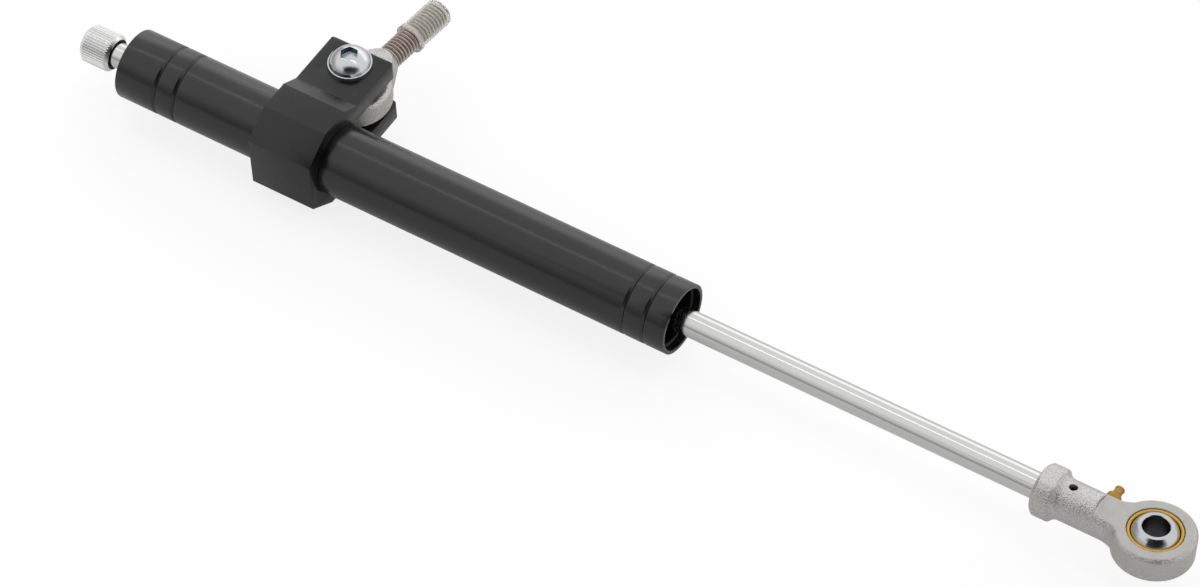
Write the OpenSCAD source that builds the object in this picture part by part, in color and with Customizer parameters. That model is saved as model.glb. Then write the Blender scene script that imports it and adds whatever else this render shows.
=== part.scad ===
// Adjustable steering damper for a motorcycle, shown fully extended.
// The rod runs right through the tube. One end of it carries the rod end that is bolted to the
// steering, the other end carries the knob that sets the damping. A split clamp holds the tube,
// and the threaded stud of a second rod end, bolted between the clamp's ears, fastens it to the frame.
// The origin is the centre of the rod end's ball. +X runs from the tube to the rod end,
// and +Z is the axis of the ball's bore.

/* [Tube] */
// Outer diameter of the tube
tube_od = 22; // [21:0.5:24]
// Wall of the tube
tube_wall = 2; // [1.8:0.1:2.5]
// Length of the tube
tube_len = 192; // [175:0.5:240]
// Depth of the open mouth at each end, down to the circlip
mouth_depth = 10; // [6:0.5:14]
// Depth that the relief in each mouth is cut into the wall
relief_cut = 0.8; // [0.4:0.1:1]
// Length of that relief
relief_len = 2.5; // [1:0.5:4]
// Width of the grooves turned into the outside of the tube
groove_w = 1.3; // [0.8:0.1:2]
// Depth of those grooves
groove_depth = 0.5; // [0.3:0.05:0.6]
// Rounding at the tube's two ends
tube_edge = 0.8; // [0.3:0.1:1]
// Distance of the first groove from the rod end of the tube
front_groove_a = 7.2; // [6:0.1:11]
// Distance of the second groove from the rod end of the tube
front_groove_b = 14.1; // [13:0.1:30]
// Distance of the first groove from the knob end of the tube
back_groove_a = 13.9; // [6:0.1:16]
// Distance of the second groove from the knob end of the tube
back_groove_b = 20.7; // [18:0.1:30]

/* [Rod and piston] */
// Diameter of the piston rod
rod_d = 8; // [7:0.5:9]
// Length of rod that stands out of the tube when extended
rod_out = 117; // [114:1:140]
// Bore of the hollow part of the rod, for the needle
rod_bore = 4; // [3.6:0.1:4.4]
// Bore of the seat that the needle closes
seat_d = 2; // [1.6:0.1:2.4]
// Diameter of the two cross holes that feed the seat
port_d = 1.2; // [0.8:0.1:1.4]
// Width of the piston
piston_len = 10; // [8:0.5:14]
// Width of the sliding band round the piston
band_w = 5; // [3:0.5:6]
// Thickness of the sliding band
band_t = 1.1; // [0.8:0.1:1.6]
// Thickness of the rubber ring under the band
band_ring_t = 1.7; // [1.2:0.1:2]
// Oil space left between piston and gland at each end of the stroke
end_gap = 2.2; // [1.8:0.1:4]

/* [Glands] */
// Length of the gland that guides the rod at each end
gland_len = 24; // [22:1:30]
// Outer diameter of the rod bush
bush_od = 10; // [9.5:0.5:12]
// Length of the rod bush
bush_len = 12; // [8:1:14]
// Outer diameter of the rod seal
seal_od = 13; // [12:0.5:14]
// Length of the rod seal
seal_len = 4.5; // [3.5:0.5:6]
// Outer diameter of the wiper
wiper_od = 14.4; // [14:0.1:14.8]
// Length of the wiper
wiper_len = 3; // [2:0.5:4]
// Thickness of the rubber ring round the gland
gland_ring_t = 1.7; // [1.2:0.1:2]
// Thickness of the circlips and stop rings
clip_t = 1; // [0.8:0.1:1.4]
// Depth of the circlip groove in the wall
clip_bite = 0.5; // [0.3:0.05:0.6]

/* [Knob] */
// Diameter of the knurled knob
knob_d = 12; // [11.5:0.5:16]
// Length of the knob
knob_len = 10.3; // [10:0.1:16]
// Gap between the tube and the knob
knob_gap = 7; // [4:0.5:14]
// Depth of the cup that turns on the rod
cup_depth = 6.3; // [5.8:0.1:7.5]
// Number of knurl grooves
knurl_count = 44; // [24:2:60]
// Depth of the knurl grooves
knurl_depth = 0.35; // [0.2:0.05:0.5]
// Travel of the needle from open to closed
needle_travel = 1; // [0.6:0.1:1.4]

/* [Rod ends] */
// Diameter of the ball
ball_d = 15.875; // [15.5:0.125:16.5]
// Width of the ball over its flat faces
ball_w = 12; // [11.5:0.5:13]
// Bore of the ball
eye_d = 8; // [6:0.5:8.5]
// Diameter of the rod end's head
head_d = 24; // [23:0.5:27]
// Thickness of the head
head_w = 9; // [8.5:0.25:10]
// Chamfer round the rims of the head
head_bevel = 1; // [0.4:0.1:1.4]
// Diameter of the bearing race
race_d = 19; // [18.5:0.25:19.5]
// Width of the bearing race inside its rolled lips
race_w = 7; // [6:0.25:7.5]
// Opening that the rolled lips leave
lip_d = 16.4; // [16.2:0.1:17]
// Distance from the ball's centre to the end of the threaded shank
shank_len = 36; // [34.5:0.5:44]
// Diameter of the wrench collar
collar_d = 16; // [15:0.5:18]
// Length of the wrench collar
collar_len = 6; // [5:0.5:7]
// Width over the collar's two wrench flats
collar_af = 14; // [13:0.5:14.5]
// Diameter of the neck
neck_d = 12.5; // [12:0.5:14]
// Radius of the flare between neck and head
flare_r = 10; // [6:1:14]
// Radius of the milled faces round the eye
mill_r = 17.6; // [16:0.2:19]
// Length of thread in the shank
thread_len = 17; // [12:1:18]
// Distance of the inspection hole from the ball's centre
check_x = 26; // [25:0.1:27]
// Distance of the grease nipple from the ball's centre
nipple_x = 16.9; // [16:0.1:18.5]

/* [Clamp] */
// Place of the clamp's middle, measured from the rod end of the tube
clamp_back = 130; // [60:0.1:170]
// Angle that the clamp is turned round the tube
clamp_roll = 7.2; // [-30:0.1:30]
// Length of the clamp along the tube
clamp_len = 21.6; // [20:0.1:30]
// Distance from the tube's axis to the clamp's front face
front_y = 14.1; // [13:0.1:18]
// Height of the clamp's front face
front_h = 18.2; // [12:0.2:22]
// Height of the clamp over the tube
clamp_h = 30.8; // [26.8:0.2:34]
// Start of the flat on top of the clamp
flat_y0 = -4.7; // [-6:0.1:0]
// End of that flat
flat_y1 = 5.4; // [4:0.1:8]
// Place where the ears begin
ear_y0 = 11.4; // [11:0.1:14]
// Height over the two ears
ear_h = 24; // [20:0.1:28]
// Distance from the tube's axis to the tip of the ears
ear_y1 = 31.4; // [30:0.2:38]
// Distance from the tube's axis to the clamp bolt
bolt_y = 24; // [23.5:0.1:26]
// Radius at the corners of the ears
ear_r = 1.5; // [0.5:0.5:4]

/* [Clamp bolt] */
// Thread diameter of the bolt
bolt_d = 8; // [6:0.5:8]
// Length of the bolt under its head
bolt_len = 24; // [20:1:30]
// Diameter of the button head
bolt_head_d = 13.4; // [12:0.2:15]
// Height of the button head
bolt_head_h = 5.2; // [4:0.1:6]
// Hexagon socket over its flats
socket_af = 5; // [4:0.5:5]
// Depth of the socket
socket_depth = 2.6; // [2:0.1:3]

/* [Stud] */
// Angle that the stud is turned from the ears' middle
stud_yaw = 7; // [-20:0.5:20]
// Width of the stud's ball over its flat faces
stud_ball_w = 12; // [9.5:0.25:12.5]
// Thickness of the stud's head
stud_head_w = 8; // [7.5:0.25:9.5]
// Width of the bearing race in the stud's head
stud_race_w = 6; // [5:0.25:6.5]
// Thread diameter of the stud
stud_d = 8; // [6:0.5:8]
// Distance from the ball's centre to the tip of the stud
stud_len = 39.5; // [38:0.5:55]
// Distance from the ball's centre to the start of the stud's thread
stud_thread_x = 16; // [15:0.5:22]
// Diameter of the plain neck next to the thread
stud_neck_d = 9.4; // [8.6:0.1:11]
// Length of the plastic cap on the thread
cap_len = 14.7; // [12:0.1:18]
// Wall of the plastic cap
cap_wall = 0.5; // [0.4:0.1:1]
// Width of the bead round the cap's mouth
cap_bead_w = 1.4; // [1:0.1:2]

/* [Hidden] */
$fn = 96;
// Radial clearance of a fit that turns or slides
fit = 0.03;
// Clearance between a ball and its race
ball_fit = 0.05;
// Clearance on each side of a part that sits in a groove
side = 0.02;
// Overrun of a cut past the face it opens
cut = 1;

// Bores of the tube
tube_bore = tube_od - 2 * tube_wall;
relief_d = tube_bore + 2 * relief_cut;

// Places along the tube. Each end of it holds the same parts, mirrored.
mouth_x = -(shank_len + rod_out);
back_x = mouth_x - tube_len;
gland_out = -(mouth_depth + clip_t);
gland_in = gland_out - gland_len;
chamber_x1 = mouth_x + gland_in - clip_t;
chamber_x0 = back_x - gland_in + clip_t;

// Piston, at rest against the end of its stroke
piston_clip_t = 0.8;
piston_clip_d = 10.6;
piston_clip_bite = 0.3;
piston_x1 = chamber_x1 - end_gap - piston_clip_t;
piston_x0 = piston_x1 - piston_len;
piston_x = (piston_x0 + piston_x1) / 2;
piston_d = tube_bore - 0.5;
band_in = tube_bore / 2 - fit - band_t;
band_seat = band_in - band_ring_t;
stroke = piston_x0 - piston_clip_t - chamber_x0 - end_gap;
echo(stroke = stroke);

// Knob and needle
knob_x1 = back_x - knob_gap;
knob_x0 = knob_x1 - knob_len;
rod_x0 = knob_x1 - cup_depth + 0.2;
rod_x1 = -shank_len + thread_len;
ring_seat_len = 1.2;
ring_seat_r = rod_d / 2 + 0.8;
knob_clip_x = knob_x1 - 2.4;
knob_clip_t = 0.6;
pin_d = 1.2;
pin_x = knob_x1 - 4.6;
needle_d = rod_bore - 2 * fit;
needle_x0 = knob_x0 + 1.6;
port_step = piston_clip_t + port_d / 2 + 0.4;
back_port_x = piston_x0 - port_step;
front_port_x = piston_x1 + port_step;
seat_x = piston_x;
tip_d = rod_bore - 1.2;
tip_len = 3;
tip_nose_d = 0.8;
tip_reach = tip_len * (tip_d - seat_d) / (tip_d - tip_nose_d);
tip_x = seat_x - tip_reach - needle_travel - 0.1;
needle_ring_x = knob_x1 - cup_depth - 0.2 + 12;

// Clamp and stud
clamp_x = mouth_x - clamp_back;
ear_gap = stud_ball_w + 0.1;
cap_end_t = 1.1;
cap_x0 = stud_len + cap_end_t + 0.1 - cap_len;

BLACK = [0.07, 0.07, 0.075];
STEEL = [0.82, 0.83, 0.85];
CAST = [0.66, 0.65, 0.63];
BRONZE = [0.80, 0.60, 0.22];
RUBBER = [0.05, 0.05, 0.05];

// A cylinder along X from x0 to x1
module bar(x0, x1, d) {
    translate([x0, 0, 0]) rotate([0, 90, 0]) cylinder(h = x1 - x0, d = d);
}

// A bar whose ends have small chamfers
module soft_bar(x0, x1, d, c) {
    translate([x0, 0, 0]) rotate([0, 90, 0]) rotate_extrude()
        polygon([[0, 0], [d / 2 - c, 0], [d / 2, c], [d / 2, x1 - x0 - c], [d / 2 - c, x1 - x0], [0, x1 - x0]]);
}

// A ring along X from x0 to x1
module sleeve(x0, x1, outer, inner) {
    difference() {
        bar(x0, x1, outer);
        bar(x0 - cut, x1 + cut, inner);
    }
}

// A rubber ring of round section, lying across X at x
module round_ring(x, outer, thickness) {
    translate([x, 0, 0]) rotate([0, 90, 0]) rotate_extrude()
        translate([(outer - thickness) / 2, 0]) circle(d = thickness, $fn = 32);
}

// Puts a part in the front mouth of the tube, or mirrored in the back one. Its local x is
// 0 at the end of the tube and negative inside it.
module at_front() {
    translate([mouth_x, 0, 0]) children();
}

module at_back() {
    translate([back_x, 0, 0]) mirror([1, 0, 0]) children();
}

// What is cut out of one end of the tube: relief, circlip groove and stop ring groove
module mouth_cuts() {
    bar(-relief_len, cut, relief_d);
    bar(gland_out - side, gland_out + clip_t + side, tube_bore + 2 * clip_bite);
    bar(gland_in - clip_t - side, gland_in + side, tube_bore + 2 * clip_bite);
}

module outer_groove(x) {
    sleeve(x - groove_w / 2, x + groove_w / 2, tube_od + 2 * cut, tube_od - 2 * groove_depth);
}

module tube() {
    color(BLACK) difference() {
        soft_bar(back_x, mouth_x, tube_od, tube_edge);
        bar(back_x - cut, mouth_x + cut, tube_bore);
        at_front() mouth_cuts();
        at_back() mouth_cuts();
        at_front() for (x = [front_groove_a, front_groove_b]) outer_groove(-x);
        at_back() for (x = [back_groove_a, back_groove_b]) outer_groove(-x);
    }
}

// The gland guides and seals the rod. Wiper and seal go in from outside, the bush from inside.
module gland() {
    ring_x = gland_in + bush_len / 2;
    color("silver") difference() {
        bar(gland_in, gland_out, tube_bore - 2 * fit);
        bar(gland_in - cut, gland_out + cut, rod_d + 0.6);
        bar(gland_out - wiper_len, gland_out + cut, wiper_od + 2 * fit);
        bar(gland_out - wiper_len - seal_len, gland_out + cut, seal_od + 2 * fit);
        bar(gland_in - cut, gland_in + bush_len, bush_od + 2 * fit);
        sleeve(ring_x - gland_ring_t * 0.7, ring_x + gland_ring_t * 0.7,
               tube_bore + cut, tube_bore - 2 * gland_ring_t - 4 * fit);
    }
}

module gland_ring() {
    color(RUBBER) round_ring(gland_in + bush_len / 2, tube_bore - 2 * fit, gland_ring_t);
}

module bush() {
    color(BRONZE) sleeve(gland_in, gland_in + bush_len, bush_od, rod_d + 2 * fit);
}

// The seal's hollow side faces the oil
module rod_seal() {
    x0 = gland_out - wiper_len - seal_len;
    mid = (rod_d + seal_od) / 4;
    color(RUBBER) difference() {
        sleeve(x0, x0 + seal_len, seal_od, rod_d + 2 * fit);
        translate([x0, 0, 0]) rotate([0, 90, 0]) rotate_extrude()
            polygon([[mid - 0.7, -cut], [mid + 0.7, -cut], [mid + 0.7, 0], [mid, seal_len * 0.55], [mid - 0.7, 0]]);
    }
}

// The wiper's lip rises towards the rod at the outer side
module wiper() {
    x0 = gland_out - wiper_len;
    color(RUBBER) translate([x0, 0, 0]) rotate([0, 90, 0]) rotate_extrude()
        polygon([
            [rod_d / 2 + fit, 0], [wiper_od / 2, 0], [wiper_od / 2, wiper_len * 0.8],
            [rod_d / 2 + 1.2, wiper_len * 0.8], [rod_d / 2 + 0.5, wiper_len], [rod_d / 2 + fit, wiper_len]
        ]);
}

// Inside circlip: an open ring with two lugs that have holes for the pliers
module circlip() {
    outer_r = tube_bore / 2 + clip_bite - 0.05;
    lug_r = tube_bore / 2 - 1.9;
    lug_angle = 15;
    color("dimgray") translate([gland_out, 0, 0]) rotate([0, 90, 0]) linear_extrude(clip_t) difference() {
        union() {
            difference() {
                circle(outer_r);
                circle(tube_bore / 2 - 1.1);
            }
            for (a = [-lug_angle, lug_angle]) rotate(a) translate([lug_r, 0]) circle(1.3, $fn = 32);
        }
        polygon([[0, 0], 2 * outer_r * [cos(5), -sin(5)], 2 * outer_r * [cos(5), sin(5)]]);
        for (a = [-lug_angle, lug_angle]) rotate(a) translate([lug_r, 0]) circle(0.6, $fn = 24);
    }
}

// Plain open ring that the gland stands against
module stop_ring() {
    outer_d = tube_bore + 2 * clip_bite - 0.1;
    gap = 3;
    color("dimgray") difference() {
        sleeve(gland_in - clip_t, gland_in, outer_d, tube_bore - 1.8);
        translate([gland_in - clip_t / 2, 0, -tube_bore / 2]) cube([clip_t + cut, gap, 2 * gap], center = true);
    }
}

// Hollow rod: the needle lies in its bore, and the two cross holes open before and behind the piston
module rod() {
    color(STEEL) difference() {
        soft_bar(rod_x0, rod_x1, rod_d, 0.5);
        bar(rod_x0 - cut, seat_x, rod_bore);
        bar(seat_x - cut, front_port_x + port_d / 2, seat_d);
        for (x = [back_port_x, front_port_x])
            translate([x, 0, 0]) cylinder(h = rod_d + 2 * cut, d = port_d, center = true, $fn = 32);
        for (x = [piston_x0 - piston_clip_t, piston_x1]) piston_clip_groove(x);
        sleeve(knob_clip_x - knob_clip_t / 2 - side, knob_clip_x + knob_clip_t / 2 + side,
               rod_d + cut, rod_d - 0.8);
        translate([pin_x, 0, 0]) cylinder(h = rod_d + 2 * cut, d = pin_d + 2 * fit, center = true, $fn = 32);
    }
}

module piston_clip_groove(x) {
    sleeve(x - side, x + piston_clip_t + side, rod_d + cut, rod_d - 2 * piston_clip_bite);
}

module piston() {
    color("silver") difference() {
        soft_bar(piston_x0, piston_x1, piston_d, 0.5);
        bar(piston_x0 - cut, piston_x1 + cut, rod_d + 2 * fit);
        sleeve(piston_x - band_w / 2 - side, piston_x + band_w / 2 + side, piston_d + cut, 2 * band_seat - 2 * fit);
    }
}

module piston_clips() {
    color("dimgray") for (x = [piston_x0 - piston_clip_t, piston_x1])
        sleeve(x, x + piston_clip_t, piston_clip_d, rod_d - 2 * piston_clip_bite + 2 * fit);
}

// The band slides in the tube and the rubber ring under it presses it out
module piston_band() {
    color("saddlebrown")
        sleeve(piston_x - band_w / 2, piston_x + band_w / 2, tube_bore - 2 * fit, 2 * band_in);
}

module band_ring() {
    color(RUBBER) round_ring(piston_x, 2 * band_in - 2 * side, band_ring_t - 2 * side);
}

// Straight knurl as a toothed outline, cut by the knob's rounded outer shape
module knurl_outline() {
    polygon([
        for (i = [0 : knurl_count - 1])
            for (j = [0, 1])
                let (a = 360 * (i + j / 2) / knurl_count, r = knob_d / 2 - j * knurl_depth)
                    [r * cos(a), r * sin(a)]
    ]);
}

module knob() {
    bevel = 1.1;
    over = 0.5;
    r0 = knob_d / 2 - bevel;
    r1 = knob_d / 2 + over;
    color(STEEL) difference() {
        translate([knob_x0, 0, 0]) rotate([0, 90, 0]) intersection() {
            linear_extrude(knob_len) knurl_outline();
            rotate_extrude()
                polygon([
                    [0, 0], [r0, 0], [r1, bevel + over], [r1, knob_len - bevel - over], [r0, knob_len], [0, knob_len]
                ]);
        }
        bar(knob_x1 - cup_depth, knob_x1 + cut, rod_d + 2 * fit);
        bar(knob_x1 - ring_seat_len, knob_x1 + cut, 2 * ring_seat_r);
        bar(knob_x0 + 1.2, knob_x1, rod_bore);
        sleeve(knob_clip_x - knob_clip_t / 2 - side, knob_clip_x + knob_clip_t / 2 + side,
               rod_d + 1.1, rod_d - cut);
    }
}

module knob_ring() {
    color(RUBBER) round_ring(knob_x1 - ring_seat_len / 2, 2 * ring_seat_r - 0.06, ring_seat_r - rod_d / 2 - 0.06);
}

// Spring ring that keeps the knob on the rod
module knob_clip() {
    color("dimgray")
        sleeve(knob_clip_x - knob_clip_t / 2, knob_clip_x + knob_clip_t / 2, rod_d + 1, rod_d - 0.8 + 2 * fit);
}

// Pin through the rod that stops the needle from turning
module guide_pin() {
    color("dimgray") translate([pin_x, 0, 0]) cylinder(h = rod_d - 0.3, d = pin_d, center = true, $fn = 32);
}

// Needle: its threaded end screws in the knob and its tip meters the oil through the seat
module needle() {
    slot_w = pin_d + 2 * side + 0.06;
    slot_x0 = pin_x - slot_w / 2 - needle_travel;
    color(BRONZE) difference() {
        union() {
            soft_bar(needle_x0, back_port_x - 2, needle_d, 0.3);
            bar(back_port_x - 2, tip_x, tip_d);
            translate([tip_x, 0, 0]) rotate([0, 90, 0]) cylinder(h = tip_len, d1 = tip_d, d2 = tip_nose_d);
        }
        translate([slot_x0, -slot_w / 2, -needle_d]) cube([needle_travel + slot_w, slot_w, 2 * needle_d]);
        sleeve(needle_ring_x - 0.6, needle_ring_x + 0.6, needle_d + cut, needle_d - 1.4);
    }
}

module needle_ring() {
    color(RUBBER) round_ring(needle_ring_x, needle_d, 0.64);
}

// Side view of a rod end, to be turned round X: the flare that runs out of the head into the
// neck, and then the outline of the shank, whose points end on the axis. The flare leaves the
// head just inside its rim.
module shank_profile(neck, flare, outline) {
    root_r = head_d / 2 - 0.3;
    touch = root_r / (root_r + flare);
    flare_x = sqrt(pow(root_r + flare, 2) - pow(neck / 2 + flare, 2));
    difference() {
        polygon(concat(
            [[0, 0], [0, root_r * 0.8], touch * [flare_x, neck / 2 + flare], [flare_x, neck / 2]], outline
        ));
        translate([flare_x, neck / 2 + flare]) circle(flare);
    }
}

// The same for the stud, whose flanks run straight from the head to the neck
module stud_profile(outline) {
    root_r = head_d / 2 - 0.3;
    neck = [stud_thread_x - 0.8, stud_neck_d / 2];
    touch = atan2(neck[1], neck[0]) + acos(root_r / norm(neck));
    polygon(concat([[0, 0], [0, root_r * 0.8], root_r * [cos(touch), sin(touch)], neck], outline));
}

// Head of a rod end: a disc with chamfered rims
module head_disc(width) {
    r = head_d / 2;
    h = width / 2;
    rotate_extrude()
        polygon([
            [0, -h], [r - head_bevel, -h], [r, -h + head_bevel], [r, h - head_bevel], [r - head_bevel, h], [0, h]
        ]);
}

// Faces milled flat round the eye, down to the head's thickness
module milled_faces(radius, width) {
    for (s = [-1, 1])
        translate([0, 0, s * (width / 2 + head_d / 2)]) cylinder(h = head_d, r = radius, center = true);
}

// Room for the race, closed by the two rolled lips
module race_seat(width) {
    cylinder(h = width, d = race_d, center = true);
    cylinder(h = ball_d, d = lip_d, center = true);
}

// Turns a profile drawn along x and r into a body round the X axis
module turned_x() {
    rotate([0, 90, 0]) rotate_extrude() mirror([1, -1]) children();
}

// Bearing race between the head and the ball. It shows inside the rolled lips.
module race(width, lip_width) {
    color(BRONZE) difference() {
        union() {
            cylinder(h = width - 2 * side, d = race_d - 2 * fit, center = true);
            cylinder(h = lip_width - 0.4, d = lip_d - 2 * fit, center = true);
        }
        sphere(d = ball_d + 2 * ball_fit);
    }
}

module ball(width) {
    c = 0.35;
    color(STEEL) difference() {
        intersection() {
            sphere(d = ball_d);
            cube([ball_d, ball_d, width], center = true);
        }
        cylinder(h = width + cut, d = eye_d, center = true);
        for (s = [0, 1]) mirror([0, 0, s])
            translate([0, 0, width / 2 - c]) cylinder(h = 2 * c, d1 = eye_d, d2 = eye_d + 4 * c);
    }
}

// Rod end on the piston rod. It is drawn with its shank along +X and turned half round.
module rod_end_housing() {
    collar_x = shank_len - collar_len;
    edge = 0.3;
    round_r = 3;
    rise = collar_d / 2 - edge - neck_d / 2;
    run = sqrt(pow(round_r, 2) - pow(round_r - rise, 2));
    color(CAST) rotate([0, 0, 180]) difference() {
        union() {
            difference() {
                turned_x() difference() {
                    shank_profile(neck_d, flare_r, [
                        [collar_x - run, neck_d / 2], [collar_x, neck_d / 2 + rise],
                        [collar_x + edge, collar_d / 2], [shank_len - 1.2, collar_d / 2],
                        [shank_len, collar_d / 2 - 1.2], [shank_len, 0]
                    ]);
                    translate([collar_x - run, neck_d / 2 + round_r]) circle(round_r);
                }
                milled_faces(mill_r, head_w);
                wrench_flats(collar_x);
            }
            head_disc(head_w);
        }
        race_seat(race_w);
        bar(shank_len - thread_len - 0.5, shank_len + cut, rod_d + 2 * fit);
        translate([check_x, 0, 0]) cylinder(h = neck_d, d = 2.4, $fn = 32);
        nipple_hole();
    }
}

module wrench_flats(x) {
    for (s = [-1, 1])
        translate([x, -collar_d, s * (collar_af + collar_d) / 2 - collar_d / 2])
            cube([collar_len + cut, 2 * collar_d, collar_d]);
}

// Tapped hole with a flat seat for the nipple, and the passage from it to the race
module nipple_hole() {
    translate([nipple_x, 0, 0]) rotate([90, 0, 0]) {
        translate([0, 0, 2]) cylinder(h = head_d, d = 3 + 2 * fit, $fn = 48);
        translate([0, 0, neck_d / 2 - 0.3]) cylinder(h = head_d, d = 5.4, $fn = 48);
        cylinder(h = 3, d = 1.2, $fn = 32);
    }
    bar(race_d / 2 - cut, nipple_x + 1.2, 1.6);
}

module grease_nipple() {
    seat = neck_d / 2 - 0.3;
    stem_r = 1.5;
    flange_r = 2.3;
    flange_h = 2.4;
    tip = seat + 6.2;
    color(BRONZE) translate([-nipple_x, 0, 0]) rotate([-90, 0, 0]) difference() {
        rotate_extrude()
            polygon([
                [0, 2.4], [stem_r, 2.4], [stem_r, seat], [flange_r, seat], [flange_r, seat + flange_h],
                [stem_r, seat + flange_h + 1.2], [stem_r, tip - 0.8], [stem_r - 0.4, tip], [0, tip]
            ]);
        cylinder(h = tip + cut, d = 0.7, $fn = 24);
    }
}

module in_clamp() {
    translate([clamp_x, 0, 0]) rotate([clamp_roll, 0, 0]) children();
}

// Section of the clamp, seen along the tube: a faceted block that narrows into two ears
module clamp_section() {
    half = [
        [-front_y, front_h / 2], [flat_y0, clamp_h / 2], [flat_y1, clamp_h / 2],
        [ear_y0, ear_h / 2], [ear_y1 - 0.8, ear_h / 2], [ear_y1, ear_h / 2 - 0.8]
    ];
    difference() {
        polygon(concat([for (p = half) p], [for (i = [len(half) - 1 : -1 : 0]) [half[i][0], -half[i][1]]]));
        circle(d = tube_od + 2 * fit);
        translate([0, -ear_gap / 2]) square([ear_y1 + cut, ear_gap]);
    }
}

// Rounds the ears' corners, seen along the bolt
module ear_outline() {
    y0 = -front_y - cut;
    translate([-clamp_len / 2, y0]) square([clamp_len, ear_y1 - ear_r - y0]);
    translate([-clamp_len / 2 + ear_r, y0]) square([clamp_len - 2 * ear_r, ear_y1 - y0]);
    for (s = [-1, 1]) translate([s * (clamp_len / 2 - ear_r), ear_y1 - ear_r]) circle(ear_r);
}

module clamp() {
    color(BLACK) in_clamp() difference() {
        intersection() {
            rotate([90, 0, 90]) translate([0, 0, -clamp_len / 2]) linear_extrude(clamp_len) clamp_section();
            translate([0, 0, -clamp_h]) linear_extrude(2 * clamp_h) ear_outline();
        }
        translate([0, bolt_y, 0]) cylinder(h = clamp_h, d = bolt_d + 0.4);
        translate([0, bolt_y, -clamp_h]) cylinder(h = clamp_h, d = bolt_d);
    }
}

// Button head screw with a hexagon socket
module clamp_bolt() {
    rim = 1.3;
    rise = bolt_head_h - rim;
    dome_r = (pow(bolt_head_d / 2, 2) + rise * rise) / (2 * rise);
    color("silver") in_clamp() translate([0, bolt_y, ear_h / 2]) difference() {
        union() {
            cylinder(h = rim, d = bolt_head_d);
            translate([0, 0, rim]) intersection() {
                cylinder(h = rise - 0.25, d = bolt_head_d);
                translate([0, 0, rise - dome_r]) sphere(dome_r);
            }
            translate([0, 0, -bolt_len + 0.8]) cylinder(h = bolt_len - 0.7, d = bolt_d - 2 * fit);
            translate([0, 0, -bolt_len]) cylinder(h = 0.8, d1 = bolt_d - 1.6, d2 = bolt_d - 2 * fit);
        }
        translate([0, 0, bolt_head_h - socket_depth])
            cylinder(h = bolt_head_h, d = socket_af / cos(30), $fn = 6);
    }
}

module in_stud() {
    in_clamp() translate([0, bolt_y, 0]) rotate([0, 0, 90 - stud_yaw]) children();
}

// Rod end with a male thread, held between the clamp's ears
module stud_end_housing() {
    tip = 1;
    color(CAST) in_stud() difference() {
        union() {
            difference() {
                turned_x() stud_profile([
                    [stud_thread_x, stud_d / 2], [stud_len - tip, stud_d / 2], [stud_len, stud_d / 2 - tip],
                    [stud_len, 0]
                ]);
                milled_faces(stud_thread_x, stud_head_w);
            }
            head_disc(stud_head_w);
        }
        race_seat(stud_race_w);
    }
}

// Clear plastic cap that protects the thread
module thread_cap() {
    inner_r = stud_d / 2 + fit;
    outer_r = inner_r + cap_wall;
    x1 = cap_x0 + cap_len;
    color([0.9, 0.92, 0.9, 0.4]) in_stud() turned_x() difference() {
        polygon([
            [cap_x0, 0], [cap_x0, outer_r + 0.35], [cap_x0 + cap_bead_w, outer_r + 0.35],
            [cap_x0 + cap_bead_w + 0.3, outer_r], [x1 - 0.8, outer_r], [x1, outer_r - 0.8], [x1, 0]
        ]);
        translate([cap_x0 - cut, -cut]) square([cap_len - cap_end_t + cut, inner_r + cut]);
    }
}

tube();
at_front() gland();  // front_gland
at_back() gland();  // back_gland
at_front() bush();  // front_bush
at_back() bush();  // back_bush
at_front() rod_seal();  // front_rod_seal
at_back() rod_seal();  // back_rod_seal
at_front() wiper();  // front_wiper
at_back() wiper();  // back_wiper
at_front() gland_ring();  // front_gland_ring
at_back() gland_ring();  // back_gland_ring
at_front() circlip();  // front_circlip
at_back() circlip();  // back_circlip
at_front() stop_ring();  // front_stop_ring
at_back() stop_ring();  // back_stop_ring
piston_band();
band_ring();
rod();
piston();
piston_clips();
knob();
knob_ring();
knob_clip();
guide_pin();
needle();
needle_ring();
rod_end_housing();
race(race_w, head_w);  // rod_end_race
ball(ball_w);  // rod_end_ball
grease_nipple();
clamp();
clamp_bolt();
stud_end_housing();
in_stud() race(stud_race_w, stud_head_w);  // stud_end_race
in_stud() ball(stud_ball_w);  // stud_end_ball
thread_cap();
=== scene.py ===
import math

import bpy
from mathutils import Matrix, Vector


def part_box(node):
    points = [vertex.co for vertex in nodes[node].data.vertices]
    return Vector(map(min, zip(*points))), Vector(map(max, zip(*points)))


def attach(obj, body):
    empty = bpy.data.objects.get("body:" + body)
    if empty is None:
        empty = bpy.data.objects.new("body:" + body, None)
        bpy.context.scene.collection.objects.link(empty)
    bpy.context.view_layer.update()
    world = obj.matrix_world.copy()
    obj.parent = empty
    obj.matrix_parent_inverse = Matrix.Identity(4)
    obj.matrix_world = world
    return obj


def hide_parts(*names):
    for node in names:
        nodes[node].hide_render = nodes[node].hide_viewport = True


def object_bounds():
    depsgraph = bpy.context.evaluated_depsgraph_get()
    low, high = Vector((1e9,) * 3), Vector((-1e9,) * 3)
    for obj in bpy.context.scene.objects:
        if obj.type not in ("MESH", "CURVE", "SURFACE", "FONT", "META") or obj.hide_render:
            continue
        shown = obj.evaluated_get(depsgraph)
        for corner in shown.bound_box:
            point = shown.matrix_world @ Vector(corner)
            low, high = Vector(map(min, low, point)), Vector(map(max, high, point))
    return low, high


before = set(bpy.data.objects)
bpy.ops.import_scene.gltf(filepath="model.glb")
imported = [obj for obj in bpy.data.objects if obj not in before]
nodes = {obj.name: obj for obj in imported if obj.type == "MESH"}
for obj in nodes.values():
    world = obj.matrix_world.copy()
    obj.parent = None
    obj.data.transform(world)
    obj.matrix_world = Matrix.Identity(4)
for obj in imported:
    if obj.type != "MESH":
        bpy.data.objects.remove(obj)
cad_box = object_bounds()

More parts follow.
